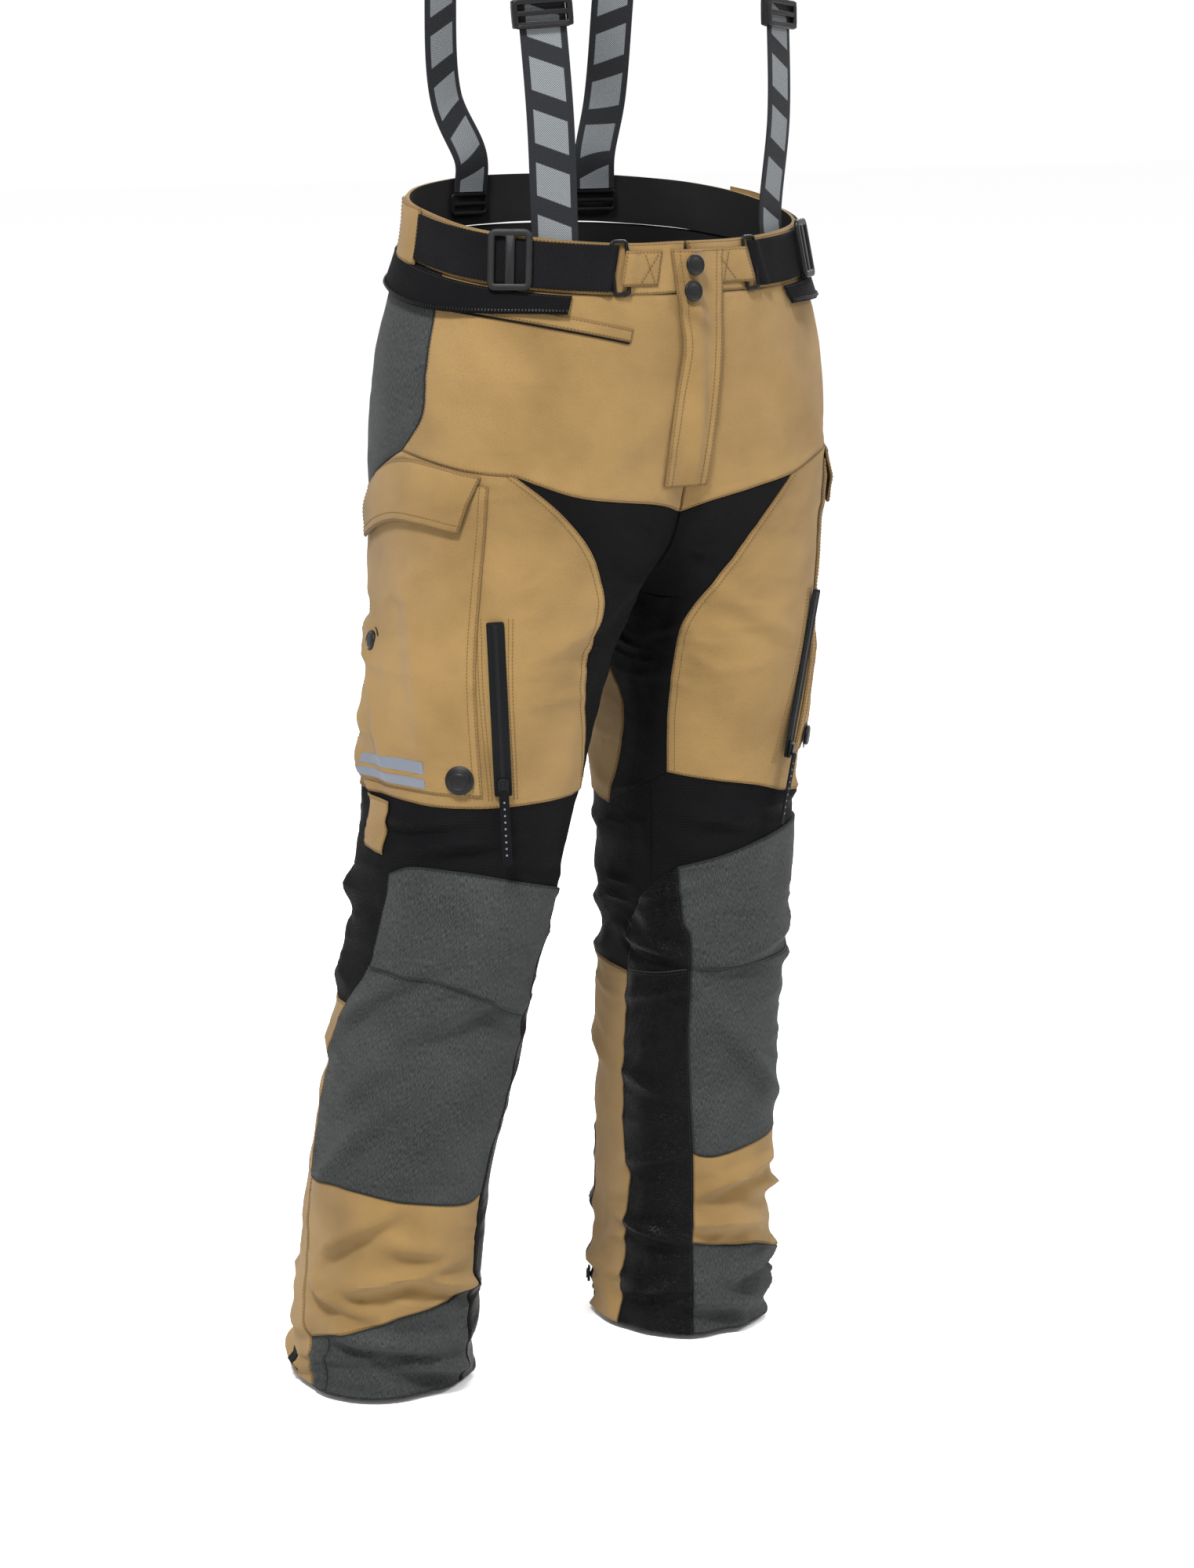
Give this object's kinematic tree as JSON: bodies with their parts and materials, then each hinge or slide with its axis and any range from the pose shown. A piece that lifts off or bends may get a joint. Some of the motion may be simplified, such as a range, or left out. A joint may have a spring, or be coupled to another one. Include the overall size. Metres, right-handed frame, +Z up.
{
  "type": "adventure riding overtrousers with braces",
  "caption": "Fabric riding overtrousers with braces, zipped thigh vents, cargo pockets, knee armour and reinforced panels, in the shape they take on a standing wearer.",
  "frame": {"origin": "centre of the waist opening, halfway up the waistband", "axes": "+Z up, -Y the wearer's front, -X the wearer's right"},
  "size_m": [0.5442, 0.3075, 1.5481],
  "materials": {
    "shell_tan": "fine twill, matt",
    "stretch_black": "smooth stretch weave",
    "woven_grey": "coarse abrasion-proof weave",
    "leather": "grained, semi-matt",
    "webbing": "woven band",
    "zip_tape": "coated tape with moulded teeth",
    "hard_plastic": "moulded, satin",
    "dark_metal": "blackened, satin",
    "armour_foam": "soft armour foam"
  },
  "bodies": {
    "trousers": {"front_yoke_left": "shell_tan", "seat_panel_left": "woven_grey", "thigh_panel_left": "shell_tan", "inner_thigh_panel_left": "stretch_black", "knee_stretch_panel_left": "stretch_black", "adjuster_strap_left": "webbing", "adjuster_ring_left": "dark_metal", "cargo_pocket_left": "shell_tan", "vent_snap_front_left": "hard_plastic", "vent_snap_rear_left": "hard_plastic", "vent_zip_left": "zip_tape", "front_clip_left": "dark_metal", "back_clip_left": "dark_metal", "suspender_strap_left": "webbing", "front_yoke_right": "shell_tan", "seat_panel_right": "woven_grey", "thigh_panel_right": "shell_tan", "inner_thigh_panel_right": "stretch_black", "knee_stretch_panel_right": "stretch_black", "adjuster_strap_right": "webbing", "adjuster_ring_right": "dark_metal", "cargo_pocket_right": "shell_tan", "vent_snap_front_right": "hard_plastic", "vent_snap_rear_right": "hard_plastic", "vent_zip_right": "zip_tape", "front_clip_right": "dark_metal", "back_clip_right": "dark_metal", "suspender_strap_right": "webbing", "waistband": "shell_tan", "jacket_zip_strip": "zip_tape", "fly_zip": "zip_tape", "suspender_bridge": "webbing"},
    "lower_leg_left": {"knee_patch_left": "woven_grey", "shin_panel_left": "shell_tan", "hem_band_left": "woven_grey", "inner_leather_left": "leather", "calf_panel_left": "shell_tan", "knee_protector_left": "armour_foam"},
    "lower_leg_right": {"knee_patch_right": "woven_grey", "shin_panel_right": "shell_tan", "hem_band_right": "woven_grey", "inner_leather_right": "leather", "calf_panel_right": "shell_tan", "knee_protector_right": "armour_foam"},
    "fly_cover": {"fly_flap": "shell_tan", "fly_snap_cap_upper": "hard_plastic", "fly_snap_cap_lower": "hard_plastic"},
    "fly_slider": {"fly_zip_slider": "dark_metal"},
    "pocket_cover_left": {"pocket_flap_left": "shell_tan"},
    "vent_slider_left": {"vent_zip_slider_left": "dark_metal"},
    "vent_pull_left": {"vent_zip_pull_left": "webbing"},
    "belt_buckle_left": {"adjuster_buckle_left": "hard_plastic"},
    "brace_adjuster_left": {"suspender_adjuster_left": "hard_plastic"},
    "calf_slider_left": {"calf_zip_slider_left": "dark_metal"},
    "pocket_cover_right": {"pocket_flap_right": "shell_tan"},
    "vent_slider_right": {"vent_zip_slider_right": "dark_metal"},
    "vent_pull_right": {"vent_zip_pull_right": "webbing"},
    "belt_buckle_right": {"adjuster_buckle_right": "hard_plastic"},
    "brace_adjuster_right": {"suspender_adjuster_right": "hard_plastic"},
    "calf_slider_right": {"calf_zip_slider_right": "dark_metal"}
  },
  "joints": [
    {"name": "knee_left", "type": "hinge", "parent": "trousers", "child": "lower_leg_left", "pos_m": [0.099, -0.01, -0.665], "axis": [1, 0, 0], "range_deg": [0, 70], "deforming": ["knee_stretch_panel_left"]},
    {"name": "knee_right", "type": "hinge", "parent": "trousers", "child": "lower_leg_right", "pos_m": [-0.189, -0.013, -0.665], "axis": [0.9825, 0, -0.1863], "range_deg": [0, 70], "deforming": ["knee_stretch_panel_right"]},
    {"name": "fly_zip", "type": "hinge", "parent": "trousers", "child": "fly_slider", "pos_m": [0, 0.31525, -0.12642], "axis": [1, 0, 0], "range_deg": [0, 16]},
    {"name": "fly_cover", "type": "hinge", "parent": "trousers", "child": "fly_cover", "pos_m": [0.029, -0.1454, -0.1163], "axis": [0.1029, 0.0167, 0.9945], "range_deg": [0, 95]},
    {"name": "pocket_cover_left", "type": "hinge", "parent": "trousers", "child": "pocket_cover_left", "pos_m": [0.22838, 0, -0.196], "axis": [0, -1, 0], "range_deg": [0, 75]},
    {"name": "vent_zip_left", "type": "slide", "parent": "trousers", "child": "vent_slider_left", "axis": [0.2161, 0.0118, 0.9763], "range_m": [0, 0.135]},
    {"name": "vent_pull_left", "type": "hinge", "parent": "vent_slider_left", "child": "vent_pull_left", "pos_m": [0.14093, -0.11503, -0.48752], "axis": [-0.847, -0.4952, 0.1935], "range_deg": [0, 170]},
    {"name": "belt_buckle_left", "type": "slide", "parent": "trousers", "child": "belt_buckle_left", "axis": [0.7573, 0.6531, 0], "range_m": [-0.012, 0.012]},
    {"name": "brace_adjuster_left", "type": "slide", "parent": "trousers", "child": "brace_adjuster_left", "axis": [0.0409, 0.0817, 0.9958], "range_m": [-0.05, 0.06]},
    {"name": "calf_zip_left", "type": "slide", "parent": "lower_leg_left", "child": "calf_slider_left", "axis": [0.0224, -0.0152, 0.9996], "range_m": [0, 0.15]},
    {"name": "pocket_cover_right", "type": "hinge", "parent": "trousers", "child": "pocket_cover_right", "pos_m": [-0.23213, -0.0019, -0.196], "axis": [0, 1, 0], "range_deg": [0, 75]},
    {"name": "vent_zip_right", "type": "slide", "parent": "trousers", "child": "vent_slider_right", "axis": [-0.0232, 0.044, 0.9988], "range_m": [0, 0.135]},
    {"name": "vent_pull_right", "type": "hinge", "parent": "vent_slider_right", "child": "vent_pull_right", "pos_m": [-0.1901, -0.11865, -0.48602], "axis": [-0.873, 0.486, -0.0417], "range_deg": [0, 170]},
    {"name": "belt_buckle_right", "type": "slide", "parent": "trousers", "child": "belt_buckle_right", "axis": [0.7573, -0.6531, 0], "range_m": [-0.012, 0.012]},
    {"name": "brace_adjuster_right", "type": "slide", "parent": "trousers", "child": "brace_adjuster_right", "axis": [-0.0409, 0.0817, 0.9958], "range_m": [-0.05, 0.06]},
    {"name": "calf_zip_right", "type": "slide", "parent": "lower_leg_right", "child": "calf_slider_right", "axis": [-0.0129, -0.0088, 0.9999], "range_m": [0, 0.15]}
  ]
}
